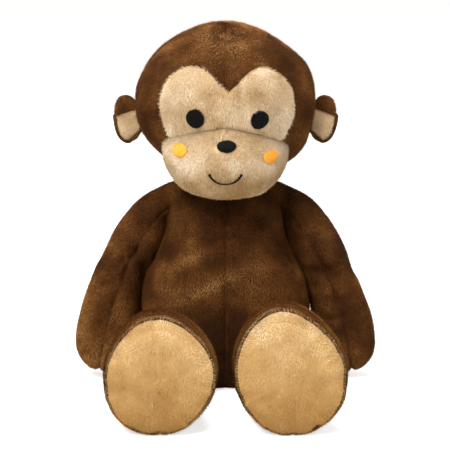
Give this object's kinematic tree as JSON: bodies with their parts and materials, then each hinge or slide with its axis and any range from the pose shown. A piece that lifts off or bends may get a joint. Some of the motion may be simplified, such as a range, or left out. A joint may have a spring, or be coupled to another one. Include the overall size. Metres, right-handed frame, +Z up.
{
  "type": "stuffed monkey",
  "caption": "Seated plush monkey with a turning, nodding head, arms that raise, legs that lift and a tail that swings, for a shelf, cot or child's hands.",
  "frame": {"origin": "middle of the flat seat panel, on the surface that the toy sits on", "axes": "+Z up, -Y the way the toy faces, +X to the toy's own left"},
  "size_m": [0.2288, 0.2577, 0.278],
  "materials": {
    "brown_plush": "short plush pile, soft sheen",
    "tan_plush": "short plush pile, soft sheen",
    "black_thread": "satin stitch, low sheen",
    "orange_thread": "satin stitch, low sheen",
    "stuffing_fibre": "loose polyester fibre",
    "pellet_cloth": "woven cotton bag"
  },
  "bodies": {
    "torso": {"torso_front_left": "brown_plush", "torso_front_right": "brown_plush", "torso_back_left": "brown_plush", "torso_back_right": "brown_plush", "seat_panel": "brown_plush", "torso_stuffing": "stuffing_fibre", "pellet_bag": "pellet_cloth"},
    "neck": {"neck_core": "stuffing_fibre"},
    "head": {"head_front_left": "brown_plush", "head_front_right": "brown_plush", "head_back_left": "brown_plush", "head_back_right": "brown_plush", "face_mask": "tan_plush", "muzzle": "tan_plush", "head_stuffing": "stuffing_fibre", "muzzle_stuffing": "stuffing_fibre", "eye_left": "black_thread", "eye_right": "black_thread", "nose": "black_thread", "smile": "black_thread", "cheek_left": "orange_thread", "cheek_right": "orange_thread", "ear_left_back": "brown_plush", "ear_left_front": "tan_plush", "ear_right_back": "brown_plush", "ear_right_front": "tan_plush"},
    "arm_left": {"arm_left_outer": "brown_plush", "arm_left_inner": "brown_plush", "arm_left_stuffing": "stuffing_fibre"},
    "arm_right": {"arm_right_outer": "brown_plush", "arm_right_inner": "brown_plush", "arm_right_stuffing": "stuffing_fibre"},
    "leg_left": {"leg_left_inner": "brown_plush", "leg_left_outer": "brown_plush", "leg_left_stuffing": "stuffing_fibre", "sole_left": "tan_plush"},
    "leg_right": {"leg_right_inner": "brown_plush", "leg_right_outer": "brown_plush", "leg_right_stuffing": "stuffing_fibre", "sole_right": "tan_plush"},
    "tail": {"tail_left": "brown_plush", "tail_right": "brown_plush", "tail_stuffing": "stuffing_fibre"}
  },
  "joints": [
    {"name": "head_turn", "type": "hinge", "parent": "torso", "child": "neck", "pos_m": [0, 0, 0.15], "axis": [0, 0, 1], "range_deg": [-30, 30], "stiffness_Nm_per_rad": 0.25},
    {"name": "head_nod", "type": "hinge", "parent": "neck", "child": "head", "pos_m": [0, 0, 0.152], "axis": [1, 0, 0], "range_deg": [-15, 15], "stiffness_Nm_per_rad": 0.6},
    {"name": "arm_left_raise", "type": "hinge", "parent": "torso", "child": "arm_left", "pos_m": [0.0435, 0, 0.143], "axis": [0, -1, 0], "range_deg": [0, 75], "stiffness_Nm_per_rad": 0.05},
    {"name": "arm_right_raise", "type": "hinge", "parent": "torso", "child": "arm_right", "pos_m": [-0.0435, 0, 0.143], "axis": [0, 1, 0], "range_deg": [0, 75], "stiffness_Nm_per_rad": 0.05},
    {"name": "leg_left_lift", "type": "hinge", "parent": "torso", "child": "leg_left", "pos_m": [0.039, -0.05, 0.026], "axis": [-1, 0, 0], "range_deg": [0, 35], "stiffness_Nm_per_rad": 0.06},
    {"name": "leg_right_lift", "type": "hinge", "parent": "torso", "child": "leg_right", "pos_m": [-0.039, -0.05, 0.026], "axis": [-1, 0, 0], "range_deg": [0, 35], "stiffness_Nm_per_rad": 0.06},
    {"name": "tail_swing", "type": "hinge", "parent": "torso", "child": "tail", "pos_m": [0, 0.051, 0.021], "axis": [0, 0, 1], "range_deg": [-30, 30], "stiffness_Nm_per_rad": 0.02}
  ]
}
